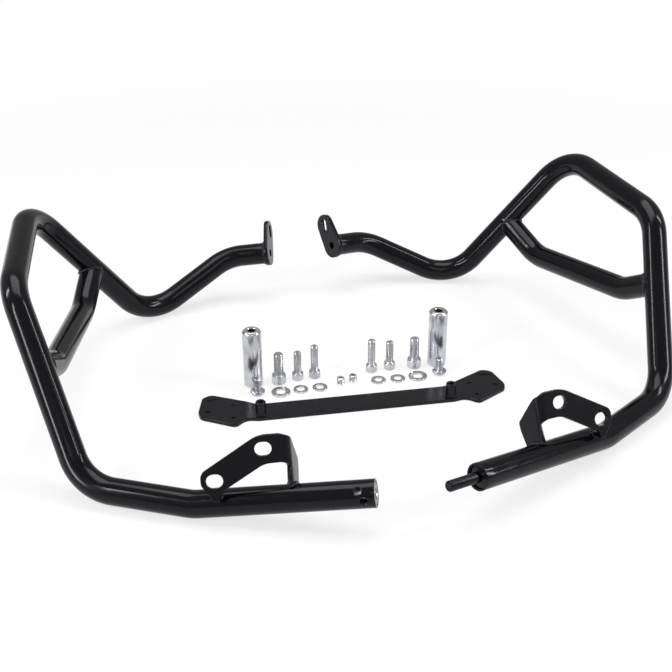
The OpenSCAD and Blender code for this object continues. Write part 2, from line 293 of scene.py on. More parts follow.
# The main tubes, in mm and degrees. The corners are those of the right bar's route, with z above the
# height at which the tube rests on the floor. The rear one lies rearDip bend radii below it, so that the
# arc just rests there
tubes = {
    "radius": 12.7, "wall": 2.0, "bend": 50.0, "endRounding": 0.35, "rimRows": 5, "centring": 0.44,
    "rearDip": 0.2517, "upperEnd": 48.5, "rightEnd": 174.5, "leftEnd": 163.5, "yaw": 22.2, "rise": 8.9,
    "sides": 96, "straightStep": 12.0, "arcStep": 2.0,
}
corners = np.array([0, tubes["centring"], tubes["radius"]]) + np.array([
    [87, 247.5, 39], [191.5, 215.5, -tubes["rearDip"] * tubes["bend"]], [310, 161.5, 158],
    [331.5, -1.5, 144.5], [291.5, -126, 0], [200, -179, 0]])
yaw, rise = math.radians(tubes["yaw"]), math.radians(tubes["rise"])
inboard = np.array([-math.cos(rise) * math.cos(yaw), -math.cos(rise) * math.sin(yaw), math.sin(rise)])
upperTip = corners[0] + tubes["upperEnd"] * inboard
rightTip = corners[5] + tubes["rightEnd"] * inboard
leftTip = corners[5] + tubes["leftEnd"] * inboard
# Frame of a straight end: X outwards along the tube, Y back, Z up. The same with the tube's axis last,
# for the lathe
endAxes = np.array([[math.cos(yaw) * math.cos(rise), math.sin(yaw) * math.cos(rise), -math.sin(rise)],
                    [-math.sin(yaw), math.cos(yaw), 0],
                    [math.cos(yaw) * math.sin(rise), math.sin(yaw) * math.sin(rise), math.cos(rise)]])
turningAxes = endAxes[[1, 2, 0]]

# The cross tubes: where each joint lies along its run, and how far the bends lie from the joints. Their
# ends are drawn from endClear away and let into the hosts by overlap
crossTubes = {
    "radius": 12.7, "bend": 50.0, "rearShare": 0.492, "frontShare": 0.39,
    "rearBend": [17.2, -53.4, -25.3], "frontBend": [-12.9, 42.1, -24.6], "endClear": 26, "overlap": 0.4,
}
crossHosts = (corners[[1, 2]], corners[[3, 4]])
rearJoint = corners[1] + crossTubes["rearShare"] * (corners[2] - corners[1])
frontJoint = corners[3] + crossTubes["frontShare"] * (corners[4] - corners[3])
crossRoute = np.array([rearJoint, rearJoint + crossTubes["rearBend"], frontJoint + crossTubes["frontBend"],
                       frontJoint])


# Straight runs joined by arcs tangent to both. Gives points, two unit vectors square to the path that are
# carried along it without twist, and tangents: each bend turns them about the bend's own axis
def centreLine(route, bendRadius):
    way = unit(np.diff(route, axis=0))
    side = unit(np.cross(way[0], [0.0, 0.0, 1.0]))
    points, sides, tangents = [], [], []
    start = route[0]
    for k in range(len(way)):
        last = k == len(way) - 1
        if not last:
            axis = unit(np.cross(way[k], way[k + 1]))
            turn = math.acos(np.clip(np.dot(way[k], way[k + 1]), -1, 1))
            cut = bendRadius * math.tan(turn / 2)
        stop = route[k + 1] if last else route[k + 1] - cut * way[k]
        count = max(int(np.linalg.norm(stop - start) / tubes["straightStep"]), 2) + 1
        share = np.linspace(0, 1, count)[:, None]
        points.append(start + share * (stop - start))
        sides.append(np.repeat(side[None], count, axis=0))
        tangents.append(np.repeat(way[k][None], count, axis=0))
        if last:
            break
        middle = stop + bendRadius * np.cross(axis, way[k])
        steps = max(int(math.degrees(turn) / tubes["arcStep"]), 4)
        angles = np.linspace(0, turn, steps + 1)[1:]
        points.append((middle + turned(stop - middle, axis, angles))[:-1])
        sides.append(turned(side, axis, angles)[:-1])
        tangents.append(turned(way[k], axis, angles)[:-1])
        side = turned(side, axis, angles[-1])
        start = middle + turned(stop - middle, axis, angles[-1])
    points, sides, tangents = np.vstack(points), np.vstack(sides), np.vstack(tangents)
    return points, sides, np.cross(tangents, sides), tangents


# A circle of the given radius carried along a path: point + radius (side cos t + up sin t)
def rings(points, sides, ups, radius, sideCount):
    t = np.arange(sideCount) * tau / sideCount
    radius = np.broadcast_to(np.asarray(radius, float), (len(points),))[:, None, None]
    circle = sides[:, None] * np.cos(t)[None, :, None] + ups[:, None] * np.sin(t)[None, :, None]
    return points[:, None] + radius * circle


# Outer circle along the path, a rounded rim at each end, then the bore back again: one closed ring of
# rows. A rim runs from the wall to the end face: its radius falls by r (1 - cos a), its place goes out by
# r sin a
def hollowTube(route):
    p, s, u, t = centreLine(route, tubes["bend"])
    r, rimRows = tubes["endRounding"], tubes["rimRows"]
    a = np.linspace(0, quarterTurn, rimRows)
    out, fall = r * (np.sin(a) - 1), r * (1 - np.cos(a))
    between = np.arange(1, len(p) - 1)
    rowKeys = np.concatenate([np.zeros(rimRows, int), between, np.full(rimRows, len(p) - 1)])
    rowSpots = np.concatenate([p[0] - t[0] * out[::-1, None], p[1:-1], p[-1] + t[-1] * out[:, None]])
    wallRadii = []
    for base, sign in ((tubes["radius"], -1), (tubes["radius"] - tubes["wall"], 1)):
        wallRadii.append(np.concatenate([base + sign * fall[::-1], np.full(len(between), base),
                                         base + sign * fall]))
    keys = np.concatenate([rowKeys, rowKeys[::-1]])
    spots = np.concatenate([rowSpots, rowSpots[::-1]])
    radii = np.concatenate([wallRadii[0], wallRadii[1][::-1]])
    return rings(spots, s[keys], u[keys], radii, tubes["sides"])


# Moves each point along way until it is radius from the line a b: the nearer root of a quadratic
def slideToTube(points, way, a, b, radius):
    axis = unit(b - a)
    across = way - np.dot(way, axis) * axis
    offset = points - a
    offset = offset - (offset @ axis)[:, None] * axis
    square, linearPart = across @ across, 2 * (offset @ across)
    rest = np.einsum("ij,ij->i", offset, offset) - radius ** 2
    root = np.sqrt(np.maximum(linearPart * linearPart - 4 * square * rest, 0))
    return points + ((-linearPart - root) / (2 * square))[:, None] * way


# A tube whose end circles are slid along its own direction on to the two tubes that carry it
def copedTube(route):
    v = crossTubes
    p, s, u, t = centreLine(route, v["bend"])
    fromStart, fromStop = np.linalg.norm(p - p[0], axis=1), np.linalg.norm(p - p[-1], axis=1)
    keep = (fromStart > v["endClear"]) & (fromStop > v["endClear"])
    reach = tubes["radius"] - v["overlap"]
    halves = []
    for r in (v["radius"], v["radius"] - tubes["wall"]):
        grid = rings(p[keep], s[keep], u[keep], r, tubes["sides"])
        first = slideToTube(grid[0], -t[0], *crossHosts[0], reach)
        last = slideToTube(grid[-1], t[-1], *crossHosts[1], reach)
        halves.append(np.concatenate([first[None], grid, last[None]]))
    return np.concatenate([halves[0], halves[1][::-1]])


weldSeam = {
    "radius": 2.3, "pitch": 2.4, "ripple": 0.22, "rippleLevel": 0.6, "swell": 0.05, "wander": 0.35,
    "stepsPerBead": 8, "smoothSteps": 4, "taper": 1.5, "sides": 14, "seed": 7,
}


# A weld bead carried along the points of a joint: a round cord whose centre wanders a little, and whose
# radius is multiplied by 1 + ripple (|sin(pi s / pitch)| - level), with s the distance along it. A closed
# line is wrapped, and an open one is drawn in at its ends
def weldBead(line, closed, size=1.0):
    v = weldSeam
    line = np.asarray(line, float)
    if closed:
        line = np.concatenate([line, line[:1]])
    along = np.concatenate([[0], np.cumsum(np.linalg.norm(np.diff(line, axis=0), axis=1))])
    beads = max(int(along[-1] / v["pitch"]), 3)
    count = beads * v["stepsPerBead"]
    s = np.linspace(0, along[-1], count, endpoint=not closed)
    centre = np.stack([np.interp(s, along, line[:, k]) for k in range(3)], axis=1)
    if closed:
        way = unit(np.roll(centre, -1, axis=0) - np.roll(centre, 1, axis=0))
    else:
        way = unit(np.gradient(centre, axis=0))
    side = unit(np.cross(way, [0.31, 0.22, 0.92]))  # any direction that no seam follows
    up = np.cross(way, side)
    phase = tau * beads * np.arange(count) / count
    rng = np.random.default_rng(v["seed"])
    noise = rng.normal(size=(beads, 3))
    spread = np.repeat(noise, v["stepsPerBead"], axis=0)
    window = range(-v["smoothSteps"], v["smoothSteps"] + 1)
    spread = sum(np.roll(spread, k, axis=0) for k in window) / len(window)
    ripple = v["ripple"] * (np.abs(np.sin(phase / 2)) - v["rippleLevel"])
    r = size * v["radius"] * (1 + ripple + v["swell"] * spread[:, 0])
    if not closed:
        toEnd = np.minimum(s, along[-1] - s) / (v["taper"] * v["radius"])
        r = r * np.sqrt(np.clip(toEnd, 0.0004, 1))
    centre = centre + v["wander"] * (spread[:, 1:2] * side + spread[:, 2:3] * up)
    return rings(centre, side, up, r, v["sides"]), closed, True


# Points at which a tube of the given radius along the cross tube's end meets its host, one full turn
def jointLine(atStart, radius, host, hostRadius):
    p, s, u, t = centreLine(crossRoute, crossTubes["bend"])
    k = 0 if atStart else -1
    way = -t[0] if atStart else t[-1]
    base = p[k] - way * 40  # well outside the host
    ring = rings(base[None], s[[k]], u[[k]], radius, 120)[0]
    return slideToTube(ring, way, *host, hostRadius)


# Points of a solid of revolution or a thread: place + radius (x cos t + y sin t) + height z, for each row
# (radius, height). A radius is one number, or one for each direction where the section isn't round
def lathe(rows, place=(0, 0, 0), axes=np.eye(3), sides=96):
    t = np.arange(sides) * tau / sides
    radii = np.stack([np.broadcast_to(np.asarray(radius, float), (sides,)) for radius, height in rows])
    heights = np.array([height for radius, height in rows], float)
    spokes = axes[0] * np.cos(t)[:, None] + axes[1] * np.sin(t)[:, None]
    return np.asarray(place) + radii[:, :, None] * spokes + heights[:, None, None] * axes[2]


# Rows set off from a radius and a height by the given steps
def offRows(radius, height, steps):
    return [(radius + outwards, height + upwards) for outwards, upwards in steps]


# A quarter round from a face to a side: the radius falls short by r (1 - sin a), and the height moves by
# r (1 - cos a)
def quarterRows(radius, height, r, rows, upwards=1):
    a = np.linspace(0, quarterTurn, rows)
    return list(zip(radius - r * (1 - np.sin(a)), height + upwards * r * (1 - np.cos(a))))


# Distance from the middle of a hexagon to its edge in each direction: half the flats over cos of the
# angle to the nearest flat
def hexagon(flats, sides=96):
    t = np.arange(sides) * tau / sides
    return flats / 2 / np.cos(np.mod(t, tau / 6) - tau / 12)


# Rows of a screw thread: the radius falls from crest to root and back once in each pitch, and the phase
# turns with the angle, so that the groove is one helix. A cone at the tip cuts the last turns down
def threadRows(radius, depth, pitch, low, high, chamfer, sides=96):
    z = np.linspace(low, high, int((high - low) / pitch * 8) + 1)
    t = np.arange(sides) / sides
    phase = np.mod(z[:, None] / pitch - t[None], 1)
    groove = np.clip(2.5 * np.abs(2 * phase - 1) - 0.6, 0, 1)
    r = radius - depth * (1 - groove)
    start = np.clip((z - low) / pitch, 0, 1)[:, None]
    r = radius - (radius - r) * start
    return list(zip(np.minimum(r, (radius - chamfer + (high - z))[:, None]), z))


# Head side with fine upright knurling: every third column of the row is at the full radius
def knurled(radius, depth, sides=96):
    return radius - depth * (np.arange(sides) % 3 != 0)


# Pitch for each diameter, depth of the groove as a share of the pitch, and the tip
screwThread = {"pitch": {8: 1.25, 10: 1.5}, "depthShare": 0.45, "tipInset": 1.3, "chamfer": 1.0}


# Rows of a screw's shank of diameter d: its thread between two heights, then its flat tip
def shankRows(d, low, high):
    v = screwThread
    pitch = v["pitch"][d]
    rows = threadRows(d / 2, v["depthShare"] * pitch, pitch, low, high, v["chamfer"])
    return rows + [(d / 2 - v["tipInset"], high), (0.0, high)]


# Sizes of a socket head as shares of the diameter, and its small edges in mm
capHead = {
    "radius": 0.75, "socket": 0.75, "socketDepth": 0.5, "coneDepth": 0.7, "socketEdge": 0.4, "round": 0.8,
    "knurl": 0.16, "knurlFrom": [1.0, 1.25], "knurlTo": [-0.95, -0.7], "topEdge": [[-0.1, -0.25], [-0.35, 0]],
    "neck": [[0.5, 0], [0.1, 0.3]], "threadFrom": 0.5,
}


# A socket head screw that stands on its head, from the bottom of its socket over the head and up the thread
def capScrew(place, d, length):
    v = capHead
    head, socket, edge = v["radius"] * d, hexagon(v["socket"] * d), v["socketEdge"]
    ribs = knurled(head, v["knurl"])
    rows = [(0.0, v["coneDepth"] * d), (socket, v["socketDepth"] * d), (socket, edge), (socket + edge, 0.0)]
    rows += quarterRows(head, 0.0, v["round"], 5)
    rows += [(head, v["knurlFrom"][0]), (ribs, v["knurlFrom"][1]), (ribs, d + v["knurlTo"][0]),
             (head, d + v["knurlTo"][1])]
    rows += offRows(head, d, v["topEdge"]) + offRows(d / 2, d, v["neck"])
    rows += shankRows(d, d + v["threadFrom"], d + length)
    return lathe(rows, (*place, 0)), False, True


buttonHead = {
    "socket": 5.0, "socketDepth": 2.6, "coneDepth": 3.4, "socketEdge": 0.3, "height": 4.6,
    "domeFrom": 3.9, "domeWidth": 2.9, "domeHeight": 3.2,
    "flange": [(7.3, 3.3), (7.65, 3.45), (7.75, 3.75), (7.75, 4.25), (7.6, 4.5), (7.3, 4.6)],
    "neck": [[0.4, 0], [0, 0.3]], "threadFrom": 0.5,
}


# A flanged button head screw that stands on its head: a quarter ellipse for the dome, then the flange and
# the thread
def buttonScrew(place, d, length):
    v = buttonHead
    socket, edge, top = hexagon(v["socket"]), v["socketEdge"], v["height"]
    a = np.linspace(0, quarterTurn, 9)
    rows = [(0.0, v["coneDepth"]), (socket, v["socketDepth"]), (socket, edge), (socket + edge, 0.0)]
    rows += list(zip(v["domeFrom"] + v["domeWidth"] * np.sin(a), v["domeHeight"] * (1 - np.cos(a))))
    rows += v["flange"] + offRows(d / 2, top, v["neck"])
    rows += shankRows(d, top + v["threadFrom"], top + length)
    return lathe(rows, (*place, 0)), False, True


grub = {
    "socket": 4.0, "socketDepth": 3.5, "coneDepth": 4.3, "socketEdge": 0.3, "rim": 0.9, "chamfer": 0.5,
    "point": [[-1.0, 0], [-0.1, 0.7]], "threadFrom": 0.8, "threadTo": 0.2,
}


# A grub screw with its socket up: flat point, thread, edge, top face, then down the socket to its cone
def grubScrew(place, d, length):
    v = grub
    socket, edge, pitch = hexagon(v["socket"]), v["socketEdge"], screwThread["pitch"][d]
    rows = [(0.0, 0.0)] + offRows(d / 2, 0.0, v["point"])
    depth = screwThread["depthShare"] * pitch
    rows += threadRows(d / 2, depth, pitch, v["threadFrom"], length - v["threadTo"], v["chamfer"])
    rows += [(d / 2 - v["rim"], length), (socket + edge, length), (socket, length - edge),
             (socket, length - v["socketDepth"]), (0.0, length - v["coneDepth"])]
    return lathe(rows, (*place, 0)), False, True


washerEdge = {"round": 0.35, "bore": 0.12}


# A washer: one closed ring of rows, a little rounded at its outer edges, where the punch drew it down
def washer(place, outer, hole, thick):
    r, e = washerEdge["round"], washerEdge["bore"]
    rows = [(hole / 2, e), (hole / 2, thick - e), (hole / 2 + e, thick)]
    rows += quarterRows(outer / 2, thick, r, 4, -1) + quarterRows(outer / 2, 0.0, r, 4)[::-1]
    rows += [(hole / 2 + e, 0.0)]
    return lathe(rows, (*place, 0)), True, True


# A turned spacer: chamfers with softened edges outside, a small countersink at each end of the bore. The
# upper half of the rows is turned over for the lower half
def spacer(place, v):
    r, b, c, h, sink = v["radius"], v["bore"], v["chamfer"], v["length"], v["countersink"]
    upper = [(b, h / 2), (b, h - sink), (b + sink, h), (r - c - 0.15, h), (r - c + 0.1, h - 0.1),
             (r - 0.1, h - c + 0.1), (r, h - c - 0.15), (r, h / 2)]
    lower = [(radius, h - height) for radius, height in upper[-2:0:-1]]
    return lathe(upper + lower, (*place, 0), sides=128), True, True


# A polygon with every corner rounded by its own radius: the arc is tangent to both sides, and starts
# radius times the tangent of half the turn before the corner
def rounded(outlineCorners, radii, step=0.7):
    p = np.asarray(outlineCorners, float)
    out = []
    for k in range(len(p)):
        a, b, c = p[k - 1], p[k], p[(k + 1) % len(p)]
        d, e = unit(b - a), unit(c - b)
        turn = math.atan2(d[0] * e[1] - d[1] * e[0], float(d @ e))
        room = 0.49 * min(np.linalg.norm(b - a), np.linalg.norm(c - b))
        r = min(radii[k], room / max(math.tan(abs(turn) / 2), 1e-6))
        cut = r * math.tan(abs(turn) / 2)
        if cut < 0.02:  # too small to round
            out.append(b[None])
            continue
        start = b - cut * d
        normal = np.array([-d[1], d[0]]) * math.copysign(1, turn)
        count = max(int(abs(turn) * r / step), 4) + 1
        t = np.linspace(0, turn, count)
        middle = start + r * normal
        arm = -r * normal
        arc = np.stack([arm[0] * np.cos(t) - arm[1] * np.sin(t),
                        arm[0] * np.sin(t) + arm[1] * np.cos(t)], axis=1)
        out.append(middle + arc)
    return np.concatenate(out)


# A round hole, or a slot of two half circles of radius r, travel apart, turned by lean
def slotOutline(centre, r, travel=0, lean=0):
    if travel == 0:
        t = np.arange(64) * tau / 64
        both = np.stack([r * np.cos(t), r * np.sin(t)], axis=1)
    else:
        t = np.linspace(-quarterTurn, quarterTurn, 33)
        half = np.stack([travel / 2 + r * np.cos(t), r * np.sin(t)], axis=1)
        both = np.concatenate([half, -half])
    c, s = math.cos(math.radians(lean)), math.sin(math.radians(lean))
    return np.asarray(centre) + both @ np.array([[c, s], [-s, c]])


# Marks the edges between a flat face, whose corners are all flagged, and any other face as sharp, so that
# the rounded rim doesn't bend the shading of the flat
def splitFlats(mesh, flagged):
    corner = np.zeros(len(mesh.loops), int)
    edge = np.zeros(len(mesh.loops), int)
    first = np.zeros(len(mesh.polygons), int)
    size = np.zeros(len(mesh.polygons), int)
    mesh.loops.foreach_get("vertex_index", corner)
    mesh.loops.foreach_get("edge_index", edge)
    mesh.polygons.foreach_get("loop_start", first)
    mesh.polygons.foreach_get("loop_total", size)
    flat = np.repeat(np.logical_and.reduceat(flagged[corner], first), size)
    onFlat = np.zeros(len(mesh.edges), bool)
    onRim = np.zeros(len(mesh.edges), bool)
    sharp = np.zeros(len(mesh.edges), bool)
    onFlat[edge[flat]] = True
    onRim[edge[~flat]] = True
    mesh.edges.foreach_get("use_edge_sharp", sharp)
    mesh.edges.foreach_set("use_edge_sharp", sharp | (onFlat & onRim))


plateMesh = {"rimSteps": 3, "sharpAngle": 14, "merge": 1e-3, "cutMerge": 1e-4}


# A cut plate with holes and softly rounded edges: the filled flat outline is thickened both ways, its rim
# rounded, cut across at the given places so that it can bend there, and each point (a, b, w) of it is put
# in its place
def cutPlate(name, outlines, thick, edge, place, cuts=()):
    v = plateMesh
    curve = bpy.data.curves.new(name + "Outline", "CURVE")
    curve.dimensions = "2D"
    curve.fill_mode = "BOTH"
    curve.extrude = thick / 2 - edge
    curve.bevel_depth = edge
    curve.bevel_resolution = v["rimSteps"]
    curve.offset = -edge
    for points in outlines:
        spline = curve.splines.new("POLY")
        spline.points.add(len(points) - 1)
        spotRows = np.column_stack([points, np.zeros(len(points)), np.ones(len(points))])
        spline.points.foreach_set("co", spotRows.ravel())
        spline.use_cyclic_u = True
    holder = bpy.data.objects.new(name + "Outline", curve)
    bpy.context.scene.collection.objects.link(holder)
    bpy.context.view_layer.update()
    mesh = bpy.data.meshes.new_from_object(holder.evaluated_get(bpy.context.evaluated_depsgraph_get()))
    bpy.data.objects.remove(holder)
    bpy.data.curves.remove(curve)
    mesh.name = name
    work = bmesh.new()
    work.from_mesh(mesh)
    bmesh.ops.remove_doubles(work, verts=work.verts, dist=v["merge"])
    for cut in cuts:
        geometry = work.verts[:] + work.edges[:] + work.faces[:]
        bmesh.ops.bisect_plane(work, geom=geometry, dist=v["cutMerge"],
                               plane_co=(cut, 0, 0), plane_no=(1, 0, 0))
    work.to_mesh(mesh)
    work.free()
    points = np.zeros(len(mesh.vertices) * 3)
    mesh.vertices.foreach_get("co", points)
    points = points.reshape(-1, 3)
    mesh.vertices.foreach_set("co", (place(points) * mm).ravel())
    finishMesh(mesh, v["sharpAngle"], 0)
    splitFlats(mesh, np.abs(points[:, 2]) > thick / 2 - v["merge"])
    return mesh


# Takes round holes out of a mesh, one cutter after the other, and keeps only the result
def drilled(mesh, cutterGrids):
    body = bpy.data.objects.new("body", mesh)
    bpy.context.scene.collection.objects.link(body)
    cutters = []
    for grid in cutterGrids:
        cutter = bpy.data.objects.new("cutter", meshOfGrids("cutter", [grid]))
        bpy.context.scene.collection.objects.link(cutter)
        cut = body.modifiers.new("hole", "BOOLEAN")
        cut.object = cutter
        cut.operation = "DIFFERENCE"
        cut.solver = "EXACT"
        cutters.append(cutter)
    bpy.context.view_layer.update()
    result = bpy.data.meshes.new_from_object(body.evaluated_get(bpy.context.evaluated_depsgraph_get()))
    for piece in (body, *cutters):
        bpy.data.objects.remove(piece)
    finishMesh(result)
    return result


# Radial holes for the grub screws in the left end: distance from the tip and lean to the front, hole
# radius in the tube and in the bush, from which to which distance from the axis each is cut, and the
# threaded ring under it
grubHoles = {
    "places": [[14.5, 44], [10, 84]], "radius": 4.3, "drill": 3.4, "tubeCut": [6, 16], "bushCut": [4, 16],
    "seatBore": 3.45, "seat": [10.4, 12.3], "thread": [10.5, 12.1], "threadDepth": 0.55, "pitch": 1.25,
    "sides": 48,
}


# Middle and axes of a radial hole: X along the tube, Z outwards, at the lean from the top to the front
def holeFrame(along, lean):
    angle = math.radians(lean)
    z = endAxes.T @ np.array([0, -math.sin(angle), math.cos(angle)])
    return leftTip + along * endAxes[0], np.array([endAxes[0], np.cross(z, endAxes[0]), z])


# Closed cylinders of the given radius that cut the holes, from one distance from the tube's axis to another
def holeCutters(radius, low, high):
    rows = [(0, low), (radius, low), (radius, high), (0, high)]
    return [(mirrored(lathe(rows, *holeFrame(*hole), grubHoles["sides"])), False, True)
            for hole in grubHoles["places"]]


# A threaded ring that lines a hole, from its thread over the top edge, down the outside and back
def grubSeat(along, lean):
    v = grubHoles
    low, high = v["seat"]
    bore, outer = v["seatBore"], v["radius"] - 0.05
    rows = threadRows(bore + 0.35, v["threadDepth"], v["pitch"], *v["thread"], 0.0, v["sides"])
    rows += [(bore + 0.5, high), (outer, high), (outer, low), (bore + 0.2, low)]
    return mirrored(lathe(rows, *holeFrame(along, lean), v["sides"])), True, True


# Each side: the way to flip a point, and the lower tip
sides = {"right": (kept, rightTip), "left": (mirrored, leftTip)}
for side, (flip, tip) in sides.items():
    grid = flip(hollowTube(np.vstack([upperTip, corners, tip])))
    mesh = meshOfGrids(side + "Tube", [(grid, True, True)])
    if side == "left":
        mesh = drilled(mesh, holeCutters(grubHoles["radius"], *grubHoles["tubeCut"]))
    addPiece(side + "Tube", mesh, gloss, [side + "_main_tube"])
    mesh = meshOfGrids(side + "Cross", [(flip(copedTube(crossRoute)), True, True)])
    addPiece(side + "Cross", mesh, gloss, [side + "_cross_tube"])
seats = [grubSeat(*hole) for hole in grubHoles["places"]]
addPiece("grubSeats", meshOfGrids("grubSeats", seats), satin)
print("tubes made")

upperTab = {
    "thick": 5.0, "edge": 0.6, "lowRadius": 15.0, "topRadius": 13.0, "reach": 27.5, "lean": 45.0,
    "hole": 4.25, "slotRadius": 4.25, "slotTravel": 7.0, "slotLean": 66.0,
}


# Outline round two circles: an arc of each and their outer tangents, which leave at the angle whose
# cosine is the difference of the radii over the distance
def lobes(a, ra, b, rb):
    a, b = np.asarray(a, float), np.asarray(b, float)
    heading = math.atan2(b[1] - a[1], b[0] - a[0])
    swing = math.acos((ra - rb) / np.linalg.norm(b - a))
    t = np.linspace(heading + swing, heading - swing + tau, 60)
    first = a + ra * np.stack([np.cos(t), np.sin(t)], axis=1)
    t = np.linspace(heading - swing, heading + swing, 44)
    return np.concatenate([first, b + rb * np.stack([np.cos(t), np.sin(t)], axis=1)])


# Puts a point (a, b, w) of the flat tab on the upper tip, a back and b up, with its outer face at the tip
def onUpperTip(p):
    return (upperTip + (p[:, 2:] - upperTab["thick"] / 2) * endAxes[0] + p[:, :1] * endAxes[1]
            + p[:, 1:2] * endAxes[2])


tabLean = math.radians(upperTab["lean"])
slotCentre = upperTab["reach"] * np.array([math.cos(tabLean), math.sin(tabLean)])
tabOutlines = [
    lobes([0, 0], upperTab["lowRadius"], slotCentre, upperTab["topRadius"]),
    slotOutline([0, 0], upperTab["hole"])[::-1],
    slotOutline(slotCentre, upperTab["slotRadius"], upperTab["slotTravel"], upperTab["slotLean"])[::-1],
]
for side, (flip, tip) in sides.items():
    mesh = cutPlate(side + "Tab", tabOutlines, upperTab["thick"], upperTab["edge"],
                    lambda p: flip(onUpperTip(p)))
    addPiece(side + "Tab", mesh, satin, [side + "_upper_tab"])
print("upper tabs made")

# The lower brackets: place of the fold from the tip and the tube's axis, lean of the sheet, turn of the
# long plate from the tube, bend radius of the fold, and the foot, let into the tube by sink
bracket = {
    "thick": 5.0, "edge": 0.6, "fromEnd": 83.5, "forward": 6.5, "lean": 25.0, "turn": 12.0, "bend": 3.0,
    "innerHole": [21, 46.6], "outerHole": [65, 22.6], "holeRadius": 5.9, "holeTravel": 3.0,
    "foot": [1.5, -17.6], "sink": 0.4, "foldCuts": 13,
    # corners of the flat sheet before it is folded: distance from the middle of the fold, height, rounding
    "corners": [[-17.9, 2.0, 0], [-20.9, 11, 14], [-25.2, 24, 14], [-26.1, 31.7, 4], [-6.0, 52.8, 30],
                [3.5, 58.6, 22], [24.3, 58.9, 28], [76.3, 30.2, 12], [76.3, 19.9, 5], [66.0, 4.6, 1.5],
                [61.0, 4.8, 1.5], [60.2, 12.0, 5], [20.3, 33.5, 22], [1.5, 33.6, 9.5]],
}
middleRadius = bracket["bend"] + bracket["thick"] / 2
foldTurn = math.radians(90 - bracket["turn"])
setBack = middleRadius * math.tan(foldTurn / 2)
halfArc = middleRadius * foldTurn / 2
lean, swing = math.radians(bracket["lean"]), math.radians(bracket["turn"])
leanAxes = np.array([endAxes[0], math.cos(lean) * endAxes[1] - math.sin(lean) * endAxes[2],
                     math.sin(lean) * endAxes[1] + math.cos(lean) * endAxes[2]])
foldPlace = rightTip + bracket["fromEnd"] * leanAxes[0] - bracket["forward"] * leanAxes[1]


# Folds the flat sheet: left of the fold a point runs back along the flange, right of it along the plate
# that is turned from the tube, and in between it goes round an arc about the middle of the fold
def folded(p):
    u, z, w = p[:, 0], p[:, 1], p[:, 2]
    flange = np.stack([-w, setBack - u - halfArc], axis=1)
    along = setBack + u - halfArc
    plate = np.stack([along * math.cos(swing) - w * math.sin(swing),
                      -along * math.sin(swing) - w * math.cos(swing)], axis=1)
    angle = math.pi + (u + halfArc) / middleRadius
    bend = np.stack([middleRadius + (middleRadius + w) * np.cos(angle),
                     setBack + (middleRadius + w) * np.sin(angle)], axis=1)
    flat = np.where((u < -halfArc)[:, None], flange, np.where((u > halfArc)[:, None], plate, bend))
    return foldPlace + flat[:, :1] * leanAxes[0] + flat[:, 1:] * leanAxes[1] + z[:, None] * leanAxes[2]


# Height at which the sheet meets a round of the given radius about the tube's axis, at a place u of the
# flange or fold: the root of radius squared less the distance from the axis squared
def tubeTop(u, radius):
    onFold = setBack - middleRadius * np.sin((u + halfArc) / middleRadius)
    back = np.where(u < -halfArc, setBack - u - halfArc, onFold)
    return np.sqrt(np.maximum(radius ** 2 - (back - bracket["forward"]) ** 2, 0.5))


outline = rounded([c[:2] for c in bracket["corners"]], [c[2] for c in bracket["corners"]])
bottom = np.linspace(*bracket["foot"], 24)
foot = np.stack([bottom, tubeTop(bottom, tubes["radius"] - bracket["sink"])], axis=1)
bracketOutlines = [np.concatenate([outline, foot])[::-1]]
for hole in (bracket["innerHole"], bracket["outerHole"]):
    centre = [hole[0] + halfArc - setBack, hole[1]]
    bracketOutlines.append(slotOutline(centre, bracket["holeRadius"], bracket["holeTravel"])[::-1])
foldCuts = np.linspace(-halfArc, halfArc, bracket["foldCuts"])
for side, (flip, tip) in sides.items():
    mesh = cutPlate(side + "Bracket", bracketOutlines, bracket["thick"], bracket["edge"],
                    lambda p: flip(folded(p)), foldCuts)
    addPiece(side + "Bracket", mesh, satin, [side + "_lower_bracket"])
print("lower brackets made")

brace = {
    "thick": 4.0, "edge": 0.5, "centre": [-10, -45], "yaw": -5.4,
    # holes as x, y, radius, and a slot as x, y, radius, travel, lean, each on both ends
    "holes": [[125, 21, 2.75], [127, -2, 2.25], [152, 13.5, 2.25]], "slot": [145.5, 34.5, 2.75, 10.0, 10.0],
    # corners of one end after the straight middle: x, y, rounding
    "corners": [[102, -7.5, 20], [114, -4.5, 14], [126, -15.5, 6], [160, 5, 9], [161.5, 14, 14],
                [155.5, 41, 8], [146, 46, 8], [112, 27.5, 20], [100, 19.5, 24]],
}
rightCorners = np.array(brace["corners"])
leftCorners = rightCorners[::-1] * [-1, 1, 1]
braceCorners = np.concatenate([rightCorners, leftCorners])
braceOutlines = [rounded(braceCorners[:, :2], braceCorners[:, 2])]
for sign in (-1, 1):
    for x, y, r in brace["holes"]:
        braceOutlines.append(slotOutline([sign * x, y], r)[::-1])
    x, y, r, travel, tilt = brace["slot"]
    braceOutlines.append(slotOutline([sign * x, y], r, travel, -sign * tilt)[::-1])
c, s = math.cos(math.radians(brace["yaw"])), math.sin(math.radians(brace["yaw"]))
braceAxes = np.array([[c, s, 0], [-s, c, 0], [0, 0, 1.0]])
braceOrigin = np.array([*brace["centre"], 0.0])
mesh = cutPlate("brace", braceOutlines, brace["thick"], brace["edge"],
                lambda p: braceOrigin + [0, 0, brace["thick"] / 2] + p @ braceAxes)
addPiece("brace", mesh, satin, ["brace_plate"])

